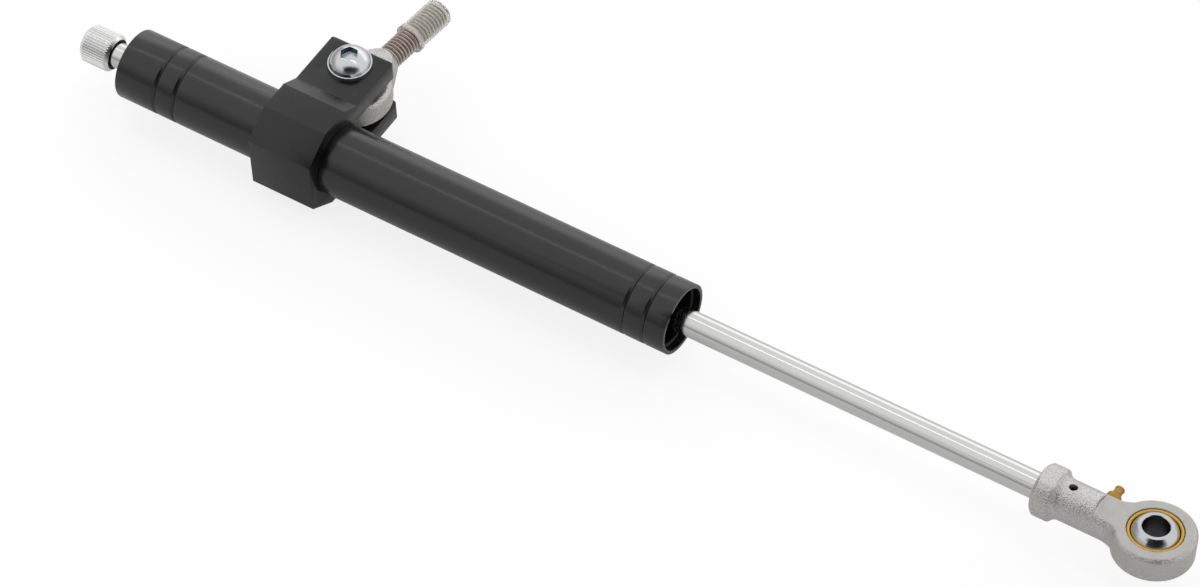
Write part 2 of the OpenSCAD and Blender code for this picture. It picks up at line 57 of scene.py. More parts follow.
# --- Tube ---
# The body of the damper, a drawn aluminium tube with two grooves turned near each end and a
# relief turned into each mouth. It is polished and then anodised black, so it has a smooth
# coat that mirrors the room weakly, more so where it is seen at a low angle.

tube_low, tube_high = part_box("tube")
tube_r = 0.011
tube_bore_r = 0.009
tube_relief_r = 0.0098
tube_relief = 0.0025
groove_w = 0.0013
groove_depth = 0.0005
groove_root = 0.0002
front_grooves = (0.0072, 0.0141)
back_grooves = (0.0139, 0.0207)


def lathe(name, outline, steps):
    """Turns an outline of (x, radius) points round the X axis, as on a lathe."""
    bpy.ops.object.select_all(action="DESELECT")
    bpy.ops.mesh.primitive_plane_add(size=0.001)
    piece = bpy.context.object
    piece.name = name
    bpy.ops.object.mode_set(mode="EDIT")
    bpy.ops.mesh.select_mode(type="VERT")
    bpy.ops.mesh.select_all(action="SELECT")
    bpy.ops.mesh.merge(type="CENTER")
    bpy.ops.transform.translate(value=(outline[0][0], 0, outline[0][1]))
    for (x0, r0), (x1, r1) in zip(outline, outline[1:]):
        bpy.ops.mesh.extrude_region_move(TRANSFORM_OT_translate={"value": (x1 - x0, 0, r1 - r0)})
    bpy.ops.mesh.select_all(action="SELECT")
    bpy.ops.mesh.spin(steps=steps, angle=2 * math.pi, center=(0, 0, 0), axis=(1, 0, 0))
    bpy.ops.mesh.select_all(action="SELECT")
    bpy.ops.mesh.remove_doubles(threshold=0.000002)
    bpy.ops.mesh.normals_make_consistent(inside=False)
    bpy.ops.object.mode_set(mode="OBJECT")
    return piece


def soften(piece, width, segments, angle=30):
    """Rounds the sharp edges, as a deburred or tumbled part has them."""
    modifier = piece.modifiers.new("edges", "BEVEL")
    modifier.width = width
    modifier.segments = segments
    modifier.limit_method = "ANGLE"
    modifier.angle_limit = math.radians(angle)
    modifier.use_clamp_overlap = True
    bpy.context.view_layer.objects.active = piece
    bpy.ops.object.modifier_apply(modifier="edges")
    shade(piece)


def shade(piece, angle=34):
    """Smooth shading, with the edges above this angle left sharp."""
    bpy.ops.object.select_all(action="DESELECT")
    piece.select_set(True)
    bpy.context.view_layer.objects.active = piece
    bpy.ops.object.shade_smooth_by_angle(angle=math.radians(angle))


def linear(code):
    """A colour written as in a paint program, turned into the shader's linear values."""
    parts = [int(code[i : i + 2], 16) / 255 for i in (1, 3, 5)]
    return [c / 12.92 if c <= 0.04045 else ((c + 0.055) / 1.055) ** 2.4 for c in parts] + [1]


def new_material(name):
    """An empty material that already has its surface and an output for it."""
    material = bpy.data.materials.new(name)
    material.use_nodes = True
    tree = material.node_tree
    tree.nodes.clear()
    output = tree.nodes.new("ShaderNodeOutputMaterial")
    surface = tree.nodes.new("ShaderNodeBsdfPrincipled")
    tree.links.new(surface.outputs[0], output.inputs[0])
    return material, tree, surface


def add(tree, kind, values=(), **settings):
    """Adds a shader node with its settings. A value that is a socket is linked."""
    node = tree.nodes.new(kind)
    for key, value in settings.items():
        setattr(node, key, value)
    for key, value in dict(values).items():
        if isinstance(value, bpy.types.NodeSocket):
            tree.links.new(value, node.inputs[key])
        else:
            node.inputs[key].default_value = value
    return node


def dress(name, material):
    """Gives a CAD node this material in all its slots."""
    for i in range(len(nodes[name].material_slots)):
        nodes[name].material_slots[i].material = material


# The coat is nearly black with a smooth surface, and a fine grain along the tube widens the
# reflections a little.
anodised, tree, surface = new_material("black_anodised_aluminium")
place = add(tree, "ShaderNodeTexCoord")
stretch = add(tree, "ShaderNodeMapping", {"Vector": place.outputs["Object"], "Scale": (60, 2500, 2500)})
grain = add(tree, "ShaderNodeTexNoise", {"Vector": stretch.outputs[0], "Scale": 1.0, "Detail": 3.0})
rough = add(
    tree,
    "ShaderNodeMapRange",
    {"Value": grain.outputs[0], "From Min": 0.3, "From Max": 0.7, "To Min": 0.16, "To Max": 0.26},
)
surface.inputs["Base Color"].default_value = linear("#111112")
surface.inputs["IOR"].default_value = 1.57
tree.links.new(rough.outputs[0], surface.inputs["Roughness"])

outline = [(tube_high.x, tube_relief_r), (tube_high.x, tube_r)]
cuts = sorted(
    [tube_high.x - d for d in front_grooves] + [tube_low.x + d for d in back_grooves],
    reverse=True,
)
for x in cuts:
    outline += [
        (x + groove_w / 2, tube_r),
        (x + groove_root / 2, tube_r - groove_depth),
        (x - groove_root / 2, tube_r - groove_depth),
        (x - groove_w / 2, tube_r),
    ]
outline += [
    (tube_low.x, tube_r),
    (tube_low.x, tube_relief_r),
    (tube_low.x + tube_relief, tube_relief_r),
    (tube_low.x + tube_relief, tube_bore_r),
    (tube_high.x - tube_relief, tube_bore_r),
    (tube_high.x - tube_relief, tube_relief_r),
    (tube_high.x, tube_relief_r),
]
tube = lathe("tube_body", outline, 128)
soften(tube, 0.0002, 3)
tube.data.materials.append(anodised)
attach(tube, "barrel")
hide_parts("tube")

# --- Clamp ---
# A block milled from extruded aluminium, bored for the tube and slit so that its two ears
# close on the tube when the bolt is tightened. It is blasted before the black anodising,
# which leaves it more satin than the tube, with edges broken by hand.

clamp_x = -0.283
clamp_roll = 7.2
clamp_len = 0.0216
clamp_bore = 0.01103
slit = 0.00605
clamp_outer = [
    (0.0314, 0.0112),
    (0.0306, 0.012),
    (0.0114, 0.012),
    (0.0054, 0.0154),
    (-0.0047, 0.0154),
    (-0.0141, 0.0091),
]
ear_corner = 0.0015
bolt_y = 0.024
bolt_hole = 0.0042

satin, tree, surface = new_material("satin_black_anodised_aluminium")
place = add(tree, "ShaderNodeTexCoord")
blast = add(tree, "ShaderNodeTexNoise", {"Vector": place.outputs["Object"], "Scale": 4200.0, "Detail": 2.0})
patch = add(tree, "ShaderNodeTexNoise", {"Vector": place.outputs["Object"], "Scale": 160.0, "Detail": 2.0})
bump = add(
    tree, "ShaderNodeBump", {"Height": blast.outputs[0], "Strength": 0.12, "Distance": 0.00003}
)
rough = add(
    tree,
    "ShaderNodeMapRange",
    {"Value": patch.outputs[0], "From Min": 0.3, "From Max": 0.7, "To Min": 0.24, "To Max": 0.34},
)
surface.inputs["Base Color"].default_value = linear("#131314")
surface.inputs["IOR"].default_value = 1.5
tree.links.new(rough.outputs[0], surface.inputs["Roughness"])
tree.links.new(bump.outputs[0], surface.inputs["Normal"])

start = math.asin(slit / clamp_bore)
bore_arc = [
    (clamp_bore * math.cos(a), clamp_bore * math.sin(a))
    for a in [start + (2 * math.pi - 2 * start) * i / 90 for i in range(91)]
]
section = clamp_outer + [(y, -z) for y, z in reversed(clamp_outer)]
section += [(clamp_outer[0][0], -slit)] + list(reversed(bore_arc)) + [(clamp_outer[0][0], slit)]

bpy.ops.object.select_all(action="DESELECT")
bpy.ops.mesh.primitive_plane_add(size=0.001)
clamp = bpy.context.object
clamp.name = "clamp_block"
bpy.ops.object.mode_set(mode="EDIT")
bpy.ops.mesh.select_all(action="SELECT")
bpy.ops.mesh.merge(type="CENTER")
bpy.ops.transform.translate(value=(clamp_x - clamp_len / 2, section[0][0], section[0][1]))
for (y0, z0), (y1, z1) in zip(section, section[1:]):
    bpy.ops.mesh.extrude_region_move(TRANSFORM_OT_translate={"value": (0, y1 - y0, z1 - z0)})
bpy.ops.mesh.select_all(action="SELECT")
bpy.ops.mesh.edge_face_add()
bpy.ops.mesh.extrude_region_move(TRANSFORM_OT_translate={"value": (clamp_len, 0, 0)})
bpy.ops.mesh.select_all(action="SELECT")
bpy.ops.mesh.normals_make_consistent(inside=False)
bpy.ops.object.mode_set(mode="OBJECT")


def cut_out(piece, tool, operation="DIFFERENCE"):
    """Boolean with a second mesh, which is then removed."""
    modifier = piece.modifiers.new("cut", "BOOLEAN")
    modifier.operation = operation
    modifier.solver = "EXACT"
    modifier.object = tool
    bpy.context.view_layer.objects.active = piece
    bpy.ops.object.modifier_apply(modifier="cut")
    bpy.data.objects.remove(tool)


def turn(piece, degrees, axis):
    """Turns the mesh about an axis through the origin, counted anticlockwise."""
    bpy.ops.object.select_all(action="DESELECT")
    piece.select_set(True)
    bpy.context.view_layer.objects.active = piece
    bpy.ops.object.mode_set(mode="EDIT")
    bpy.ops.mesh.select_all(action="SELECT")
    bpy.ops.transform.rotate(
        value=-math.radians(degrees),
        orient_axis=axis,
        orient_type="GLOBAL",
        center_override=(0, 0, 0),
    )
    bpy.ops.object.mode_set(mode="OBJECT")


def shift(piece, step):
    """Moves the mesh, and leaves the object's own place alone."""
    bpy.ops.object.select_all(action="DESELECT")
    piece.select_set(True)
    bpy.context.view_layer.objects.active = piece
    bpy.ops.object.mode_set(mode="EDIT")
    bpy.ops.mesh.select_all(action="SELECT")
    bpy.ops.transform.translate(value=step)
    bpy.ops.object.mode_set(mode="OBJECT")


# The ears' corners are milled round: one rounded block cuts them all.
bpy.ops.mesh.primitive_cube_add(size=1)
tool = bpy.context.object
bpy.ops.object.mode_set(mode="EDIT")
bpy.ops.transform.resize(value=(clamp_len, 0.06, 0.05))
bpy.ops.transform.translate(value=(clamp_x, 0.0314 - 0.03, 0))
bpy.ops.mesh.select_mode(type="EDGE")
bpy.ops.mesh.select_all(action="DESELECT")
bpy.ops.object.mode_set(mode="OBJECT")
for edge in tool.data.edges:
    a, b = [tool.data.vertices[i].co for i in edge.vertices]
    edge.select = a.y > 0.03 and b.y > 0.03 and abs(a.z - b.z) > 0.01
bpy.ops.object.mode_set(mode="EDIT")
bpy.ops.mesh.bevel(offset=ear_corner, segments=6)
bpy.ops.object.mode_set(mode="OBJECT")
cut_out(clamp, tool, "INTERSECT")

bpy.ops.mesh.primitive_cylinder_add(
    vertices=64, radius=bolt_hole, depth=0.06, location=(clamp_x, bolt_y, 0)
)
cut_out(clamp, bpy.context.object)
turn(clamp, clamp_roll, "X")
soften(clamp, 0.00016, 2, 28)
clamp.data.materials.append(satin)
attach(clamp, "clamp")
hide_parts("clamp")

# --- Piston rod ---
# A ground and hard chromed steel rod that slides through the seals. Its surface is bright,
# with the very fine rings that the centreless grinder leaves. The end that is screwed into
# the rod end is painted near black, as painted shade where it sits inside the rod end.

rod_end_x = -0.0345

chrome, tree, surface = new_material("ground_chromed_steel")
place = add(tree, "ShaderNodeTexCoord")
stretch = add(tree, "ShaderNodeMapping", {"Vector": place.outputs["Object"], "Scale": (9000, 150, 150)})
rings = add(tree, "ShaderNodeTexNoise", {"Vector": stretch.outputs[0], "Scale": 1.0, "Detail": 2.0})
rough = add(
    tree,
    "ShaderNodeMapRange",
    {"Value": rings.outputs[0], "From Min": 0.3, "From Max": 0.7, "To Min": 0.1, "To Max": 0.17},
)
axes = add(tree, "ShaderNodeSeparateXYZ", {"Vector": place.outputs["Object"]})
# Painted shade: the rod is coloured near black from where it enters the rod end.
shade_inside_rod_end = add(
    tree,
    "ShaderNodeMapRange",
    {"Value": axes.outputs["X"], "From Min": rod_end_x, "From Max": rod_end_x + 0.0005},
)
tint = add(
    tree,
    "ShaderNodeMix",
    {0: shade_inside_rod_end.outputs[0], 6: linear("#CFCFCE"), 7: linear("#151515")},
    data_type="RGBA",
)
surface.inputs["Metallic"].default_value = 1.0
tree.links.new(tint.outputs[2], surface.inputs["Base Color"])
tree.links.new(rough.outputs[0], surface.inputs["Roughness"])
dress("rod", chrome)

# --- Setting knob ---
# A small cup turned from aluminium with a straight knurl pressed into it, so that it can be
# set with gloves on. Both ends are chamfered after the knurling, which fades the ridges out.

knob_low, knob_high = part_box("knob")
knob_r = 0.006
knob_teeth = 44
knurl_depth = 0.00035
knob_bevel = 0.0011
knob_cup = 0.0063
ring_seat = 0.0012
ring_seat_r = 0.0048

knob_metal, tree, surface = new_material("turned_aluminium_bright")
place = add(tree, "ShaderNodeTexCoord")
wear = add(tree, "ShaderNodeTexNoise", {"Vector": place.outputs["Object"], "Scale": 900.0, "Detail": 3.0})
rough = add(
    tree,
    "ShaderNodeMapRange",
    {"Value": wear.outputs[0], "From Min": 0.3, "From Max": 0.7, "To Min": 0.24, "To Max": 0.38},
)
# The knurl's roots are painted a shade darker than its crests and chamfered ends, as painted shade in the grooves.
across = add(
    tree, "ShaderNodeVectorMath", {0: place.outputs["Object"], 1: (0, 1, 1)}, operation="MULTIPLY"
)
radius = add(tree, "ShaderNodeVectorMath", {0: across.outputs[0]}, operation="LENGTH")
crest = add(
    tree,
    "ShaderNodeMapRange",
    {"Value": radius.outputs["Value"], "From Min": knob_r - knurl_depth, "From Max": knob_r - 0.00008},
)
axes = add(tree, "ShaderNodeSeparateXYZ", {"Vector": place.outputs["Object"]})
along = add(
    tree,
    "ShaderNodeMath",
    {0: axes.outputs["X"], 1: (knob_low.x + knob_high.x) / 2},
    operation="SUBTRACT",
)
along = add(tree, "ShaderNodeMath", {0: along.outputs[0]}, operation="ABSOLUTE")
half = (knob_high.x - knob_low.x) / 2
chamfered = add(
    tree,
    "ShaderNodeMapRange",
    {"Value": along.outputs[0], "From Min": half - knob_bevel - 0.0002, "From Max": half - knob_bevel},
)
light = add(tree, "ShaderNodeMath", {0: crest.outputs[0], 1: chamfered.outputs[0]}, operation="MAXIMUM")
tint = add(
    tree,
    "ShaderNodeMix",
    {0: light.outputs[0], 6: linear("#D2D2D4"), 7: linear("#EDEDEB")},
    data_type="RGBA",
)
surface.inputs["Metallic"].default_value = 1.0
tree.links.new(tint.outputs[2], surface.inputs["Base Color"])
tree.links.new(rough.outputs[0], surface.inputs["Roughness"])

r_over = knob_r + 0.0004
knob = lathe(
    "knurled_knob",
    [
        (knob_low.x, 0.0),
        (knob_low.x, knob_r - knob_bevel),
        (knob_low.x + knob_bevel + 0.0004, r_over),
        (knob_high.x - knob_bevel - 0.0004, r_over),
        (knob_high.x, knob_r - knob_bevel),
        (knob_high.x, ring_seat_r),
        (knob_high.x - ring_seat, ring_seat_r),
        (knob_high.x - ring_seat, 0.00403),
        (knob_high.x - knob_cup, 0.00403),
        (knob_high.x - knob_cup, 0.002),
        (knob_low.x + 0.0012, 0.002),
        (knob_low.x + 0.0012, 0.0),
    ],
    132,
)
bpy.ops.object.select_all(action="DESELECT")
bpy.ops.mesh.primitive_circle_add(
    vertices=4 * knob_teeth,
    radius=knob_r,
    rotation=(0, math.pi / 2, 0),
    location=(knob_low.x - 0.001, 0, 0),
)
prism = bpy.context.object
bpy.ops.object.transform_apply(location=True, rotation=True, scale=True)
bpy.ops.object.mode_set(mode="EDIT")
bpy.ops.mesh.select_mode(type="VERT")
bpy.ops.mesh.select_all(action="DESELECT")
bpy.ops.object.mode_set(mode="OBJECT")
for i, vertex in enumerate(prism.data.vertices):
    vertex.select = i % 4 > 1
bpy.ops.object.mode_set(mode="EDIT")
shrink = 1 - knurl_depth / knob_r
bpy.ops.transform.resize(value=(1, shrink, shrink), center_override=(knob_low.x, 0, 0))
bpy.ops.mesh.select_all(action="SELECT")
bpy.ops.mesh.edge_face_add()
bpy.ops.mesh.extrude_region_move(
    TRANSFORM_OT_translate={"value": (knob_high.x - knob_low.x + 0.002, 0, 0)}
)
bpy.ops.mesh.select_all(action="SELECT")
bpy.ops.mesh.normals_make_consistent(inside=False)
bpy.ops.object.mode_set(mode="OBJECT")
cut_out(knob, prism, "INTERSECT")
shade(knob, 25)
knob.data.materials.append(knob_metal)
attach(knob, "knob")
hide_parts("knob")

# --- Clamp bolt ---
# A cold headed button head screw that closes the clamp on the tube. The head is domed, with
# a hexagon socket, and the screw is zinc plated bright.

bolt_head_r = 0.0067
bolt_head_h = 0.0052
bolt_rim = 0.0011
dome_foot_r = 0.00635
bolt_len = 0.024
socket_af = 0.005
socket_depth = 0.0026

zinc, tree, surface = new_material("bright_zinc_plated_steel")
place = add(tree, "ShaderNodeTexCoord")
haze = add(tree, "ShaderNodeTexNoise", {"Vector": place.outputs["Object"], "Scale": 700.0, "Detail": 4.0})
rough = add(
    tree,
    "ShaderNodeMapRange",
    {"Value": haze.outputs[0], "From Min": 0.3, "From Max": 0.7, "To Min": 0.12, "To Max": 0.24},
)
tint = add(
    tree,
    "ShaderNodeMix",
    {0: haze.outputs[0], 6: linear("#C3C7CA"), 7: linear("#D3D4D5")},
    data_type="RGBA",
)
surface.inputs["Metallic"].default_value = 1.0
tree.links.new(tint.outputs[2], surface.inputs["Base Color"])
tree.links.new(rough.outputs[0], surface.inputs["Roughness"])

rise = bolt_head_h - bolt_rim
dome_r = (dome_foot_r**2 + rise**2) / (2 * rise)
top = dome_r - rise
span = math.asin(dome_foot_r / dome_r)
head = [(-bolt_len, 0.0), (-bolt_len, 0.0032), (-bolt_len + 0.0008, 0.00395), (0.0, 0.00395)]
head += [(0.0, bolt_head_r), (bolt_rim, bolt_head_r)]
for i in range(16):
    a = span * (1 - i / 16)
    round_x = dome_r * math.cos(a) - top
    full_x = rise * math.cos(math.asin(dome_r * math.sin(a) / dome_foot_r))
    head.append((bolt_rim + (round_x + full_x) / 2, dome_r * math.sin(a)))
head = [p for p in head if p[0] <= bolt_head_h - 0.0003]
head += [(bolt_head_h - 0.00025, head[-1][1] - 0.0003), (bolt_head_h - 0.00025, 0.0)]
bolt = lathe("button_screw", head, 96)
turn(bolt, -90, "Y")
bpy.ops.mesh.primitive_cylinder_add(
    vertices=6,
    radius=socket_af / math.sqrt(3),
    depth=0.01,
    rotation=(0, 0, math.pi / 6),
    location=(0, 0, bolt_head_h - socket_depth + 0.005),
)
cut_out(bolt, bpy.context.object)
soften(bolt, 0.00016, 3, 30)
bolt.data.materials.append(zinc)

# The socket keeps a duller and bluer film, because nothing rubs it, and its walls are also
# painted darker than the head, as painted shade in the socket.
socket_film_and_shade, tree, surface = new_material("blue_zinc_film_and_socket_shade")
place = add(tree, "ShaderNodeTexCoord")
haze = add(tree, "ShaderNodeTexNoise", {"Vector": place.outputs["Object"], "Scale": 1500.0, "Detail": 2.0})
tint = add(
    tree,
    "ShaderNodeMix",
    {0: haze.outputs[0], 6: linear("#5D747C"), 7: linear("#7C9097")},
    data_type="RGBA",
)
surface.inputs["Metallic"].default_value = 1.0
surface.inputs["Roughness"].default_value = 0.32
tree.links.new(tint.outputs[2], surface.inputs["Base Color"])
bolt.data.materials.append(socket_film_and_shade)
# The socket's walls take this material: a bluish zinc film with painted shade.
for face in bolt.data.polygons:
    middle = Vector((face.center.x, face.center.y))
    inside = middle.length < socket_af * 0.6 and face.center.z > bolt_head_h - socket_depth
    if inside and abs(face.normal.z) < 0.3:
        face.material_index = 1
shift(bolt, (clamp_x, bolt_y, 0.012))
turn(bolt, clamp_roll, "X")
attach(bolt, "clamp")
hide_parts("clamp_bolt")

# --- Rod end castings ---
# Both rod ends have a forged steel housing, shot blasted and zinc plated, which leaves a grey
# grain on it. The faces of the head, the seat of the race and the holes are machined after
# the forging, so their edges are crisp where the others are soft.

cast, tree, surface = new_material("blasted_zinc_plated_steel")
place = add(tree, "ShaderNodeTexCoord")
axes = add(tree, "ShaderNodeSeparateXYZ", {"Vector": place.outputs["Object"]})
height = add(tree, "ShaderNodeMath", {0: axes.outputs["Z"]}, operation="ABSOLUTE")
on_face = add(
    tree,
    "ShaderNodeMapRange",
    {"Value": height.outputs[0], "From Min": 0.00425, "From Max": 0.00445},
)
past_neck = add(
    tree,
    "ShaderNodeMapRange",
    {"Value": axes.outputs["X"], "From Min": -0.0178, "From Max": -0.0172},
)
below_shoulder = add(
    tree,
    "ShaderNodeMapRange",
    {"Value": height.outputs[0], "From Min": 0.00455, "From Max": 0.0047, "To Min": 1.0, "To Max": 0.0},
)
milled = add(tree, "ShaderNodeMath", {0: on_face.outputs[0], 1: past_neck.outputs[0]}, operation="MULTIPLY")
milled = add(tree, "ShaderNodeMath", {0: milled.outputs[0], 1: below_shoulder.outputs[0]}, operation="MULTIPLY")
pits = add(tree, "ShaderNodeTexVoronoi", {"Vector": place.outputs["Object"], "Scale": 2200.0})
lumps = add(
    tree, "ShaderNodeTexNoise", {"Vector": place.outputs["Object"], "Scale": 2300.0, "Detail": 3.0}
)
stains = add(
    tree, "ShaderNodeTexNoise", {"Vector": place.outputs["Object"], "Scale": 260.0, "Detail": 3.0}
)
relief = add(tree, "ShaderNodeMath", {0: pits.outputs["Distance"], 1: lumps.outputs[0]}, operation="ADD")
depth = add(
    tree,
    "ShaderNodeMapRange",
    {"Value": milled.outputs[0], "To Min": 0.8, "To Max": 0.16},
)
bump = add(
    tree,
    "ShaderNodeBump",
    {"Height": relief.outputs[0], "Strength": depth.outputs[0], "Distance": 0.00016},
)
rough = add(
    tree,
    "ShaderNodeMapRange",
    {"Value": stains.outputs[0], "From Min": 0.3, "From Max": 0.7, "To Min": 0.3, "To Max": 0.44},
)
tint = add(
    tree,
    "ShaderNodeMix",
    {0: stains.outputs[0], 6: linear("#B1B0AE"), 7: linear("#CBC9C5")},
    data_type="RGBA",
)
speck = add(
    tree,
    "ShaderNodeMapRange",
    {"Value": relief.outputs[0], "From Min": 0.6, "From Max": 1.15, "To Min": 0.8, "To Max": 1.16},
)
turned_head = add(
    tree,
    "ShaderNodeMapRange",
    {"Value": axes.outputs["X"], "From Min": -0.013, "From Max": -0.0115, "To Max": 0.65},
)
speck = add(tree, "ShaderNodeMix", {0: turned_head.outputs[0], 2: speck.outputs[0], 3: 0.94})
speck = add(tree, "ShaderNodeMix", {0: milled.outputs[0], 2: speck.outputs[0], 3: 0.86})
tint = add(
    tree, "ShaderNodeVectorMath", {0: tint.outputs[2], "Scale": speck.outputs[0]}, operation="SCALE"
)
surface.inputs["Metallic"].default_value = 0.92
tree.links.new(tint.outputs[0], surface.inputs["Base Color"])
tree.links.new(rough.outputs[0], surface.inputs["Roughness"])
tree.links.new(bump.outputs[0], surface.inputs["Normal"])


def forging(name, source, voxel, rounds, is_soft):
    """A copy of a CAD solid whose edges are worn soft where is_soft says so, as forging leaves them."""
    bpy.ops.object.select_all(action="DESELECT")
    piece = bpy.data.objects.new(name, nodes[source].data.copy())
    bpy.context.scene.collection.objects.link(piece)
    piece.data.materials.clear()
    piece.select_set(True)
    bpy.context.view_layer.objects.active = piece
    bpy.ops.object.mode_set(mode="EDIT")
    bpy.ops.mesh.select_mode(type="VERT")
    bpy.ops.mesh.select_all(action="SELECT")
    bpy.ops.mesh.remove_doubles(threshold=0.000001)
    bpy.ops.mesh.customdata_custom_splitnormals_clear()
    bpy.ops.object.mode_set(mode="OBJECT")
    even = piece.modifiers.new("even", "REMESH")
    even.mode = "VOXEL"
    even.voxel_size = voxel
    bpy.ops.object.modifier_apply(modifier="even")
    soft = piece.vertex_groups.new(name="soft")
    soft.add([v.index for v in piece.data.vertices if is_soft(v.co)], 1.0, "REPLACE")
    blast = piece.modifiers.new("blast", "SMOOTH")
    blast.vertex_group = "soft"
    blast.factor = 0.5
    blast.iterations = rounds
    bpy.ops.object.modifier_apply(modifier="blast")
    return piece


def join(pieces):
    """Joins several cutting tools into one."""
    bpy.ops.object.select_all(action="DESELECT")
    for piece in pieces:
        piece.select_set(True)
    bpy.context.view_layer.objects.active = pieces[0]
    bpy.ops.object.join()
    return pieces[0]


# --- Rod end on the piston rod ---
# Its collar has two flats for a wrench and a small hole through which one sees how far the
# rod is screwed in. The head is milled flat on both sides round the eye.

head_face = 0.0045
head_bevel = 0.0006
head_r = 0.012
lip_r = 0.0082
seat_r = 0.0095
race_half = 0.0035
check_x = -0.026
check_r = 0.0012
nipple_x = -0.0169

housing = forging("rod_end_forging", "rod_end_housing", 0.0003, 6, lambda co: co.x < -0.0118)
seat = lathe(
    "seat",
    [(-0.008, 0), (-0.008, lip_r), (-race_half, lip_r), (-race_half, seat_r)]
    + [(race_half, seat_r), (race_half, lip_r), (0.008, lip_r), (0.008, 0)],
    96,
)
turn(seat, -90, "Y")
cut_out(housing, seat)
bpy.ops.mesh.primitive_cylinder_add(vertices=40, radius=check_r, depth=0.02, location=(check_x, 0, 0))
cut_out(housing, bpy.context.object)
shade(housing, 40)
housing.data.materials.append(cast)
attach(housing, "rod")
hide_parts("rod_end_housing")

# --- Races ---
# A bronze ring carries each ball. It stands a little back from the head's faces, with its
# rims rounded where the lips of the seat were rolled over it.

bronze, tree, surface = new_material("turned_bronze")
place = add(tree, "ShaderNodeTexCoord")
wear = add(tree, "ShaderNodeTexNoise", {"Vector": place.outputs["Object"], "Scale": 800.0, "Detail": 3.0})
tint = add(
    tree,
    "ShaderNodeMix",
    {0: wear.outputs[0], 6: linear("#C09946"), 7: linear("#CCAA59")},
    data_type="RGBA",
)
rough = add(
    tree,
    "ShaderNodeMapRange",
    {"Value": wear.outputs[0], "From Min": 0.3, "From Max": 0.7, "To Min": 0.18, "To Max": 0.24},
)
surface.inputs["Metallic"].default_value = 1.0
tree.links.new(tint.outputs[2], surface.inputs["Base Color"])
tree.links.new(rough.outputs[0], surface.inputs["Roughness"])

inner_r = 0.00804
sphere = [(x / 1000, math.sqrt(inner_r**2 - (x / 1000) ** 2)) for x in (3.4, 2.5, 1.5, 0.5)]


def race_ring(name, half, lip):
    """A ring with a hollow for the ball, turned to stand upright."""
    side = [
        (half, lip_r - 0.00003),
        (lip - 0.0003, lip_r - 0.00003),
        (lip, lip_r - 0.0003),
        (lip, 0.0074),
        (lip - 0.0004, 0.0071),
    ]
    side = [(half, seat_r - 0.0001)] + side + [p for p in sphere if p[0] < lip - 0.0005]
    ring = lathe(name, side + [(-x, r) for x, r in reversed(side)] + side[:1], 96)
    turn(ring, -90, "Y")
    soften(ring, 0.00012, 3, 25)
    ring.data.materials.append(bronze)
    return ring


eye_race = race_ring("eye_race_ring", 0.0034, 0.0043)
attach(eye_race, "eye_race")
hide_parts("rod_end_race")


def into_stud(piece):
    """From the rod end's own axes to its place between the ears."""
    turn(piece, stud_turn, "Z")
    shift(piece, (clamp_x, bolt_y, 0))
    turn(piece, clamp_roll, "X")


stud_turn = 83
stud_race = race_ring("stud_race_ring", 0.0029, 0.0038)
into_stud(stud_race)
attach(stud_race, "stud")
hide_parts("stud_end_race")

# --- Balls ---
# Hardened bearing steel, ground and polished to a mirror, bored through and cut flat at both
# ends. The bore is left as it was turned, and its colour is painted dark, as painted shade in the hole.

polished, tree, surface = new_material("polished_bearing_steel")
place = add(tree, "ShaderNodeTexCoord")
smear = add(tree, "ShaderNodeTexNoise", {"Vector": place.outputs["Object"], "Scale": 300.0, "Detail": 3.0})
rough = add(
    tree,
    "ShaderNodeMapRange",
    {"Value": smear.outputs[0], "From Min": 0.3, "From Max": 0.7, "To Min": 0.07, "To Max": 0.14},
)
surface.inputs["Base Color"].default_value = linear("#C4C5C8")
surface.inputs["Metallic"].default_value = 1.0
tree.links.new(rough.outputs[0], surface.inputs["Roughness"])

# Dull like a turned surface, and coloured dark as painted shade inside the bore.
bore_dull_and_shaded, tree, surface = new_material("turned_bore_steel_painted_shade")
place = add(tree, "ShaderNodeTexCoord")
feed = add(tree, "ShaderNodeTexNoise", {"Vector": place.outputs["Object"], "Scale": 2500.0, "Detail": 2.0})
rough = add(
    tree,
    "ShaderNodeMapRange",
    {"Value": feed.outputs[0], "From Min": 0.3, "From Max": 0.7, "To Min": 0.3, "To Max": 0.45},
)
surface.inputs["Base Color"].default_value = linear("#4A4A4B")
surface.inputs["Metallic"].default_value = 1.0
tree.links.new(rough.outputs[0], surface.inputs["Roughness"])

ball_r = 0.0079375
ball_half = 0.006
eye_r = 0.004
chamfer = 0.00015


def bearing_ball(name):
    """A ball about the origin with an upright bore."""
    arc = [i / 12 * ball_half for i in range(-12, 13)]
    side = [(x, math.sqrt(ball_r**2 - x**2)) for x in arc]
    side += [(ball_half, eye_r + chamfer), (ball_half - chamfer, eye_r)]
    side += [(chamfer - ball_half, eye_r), (-ball_half, eye_r + chamfer)]
    ball = lathe(name, side + side[:1], 96)
    turn(ball, -90, "Y")
    ball.data.materials.append(polished)
    ball.data.materials.append(bore_dull_and_shaded)
    # The faces of the bore take the dark material, which paints shade into the hole.
    for face in ball.data.polygons:
        if Vector((face.center.x, face.center.y)).length < eye_r + 0.00001:
            face.material_index = 1
    shade(ball, 25)
    return ball


eye_ball = bearing_ball("eye_ball_polished")
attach(eye_ball, "eye_ball")
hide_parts("rod_end_ball")
stud_ball = bearing_ball("stud_ball_polished")
into_stud(stud_ball)
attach(stud_ball, "stud_ball")
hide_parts("stud_end_ball")

# --- Grease nipple ---
# Pressed from brass and copper plated, with a round flange that seats on the neck. It lets
# the race be greased.

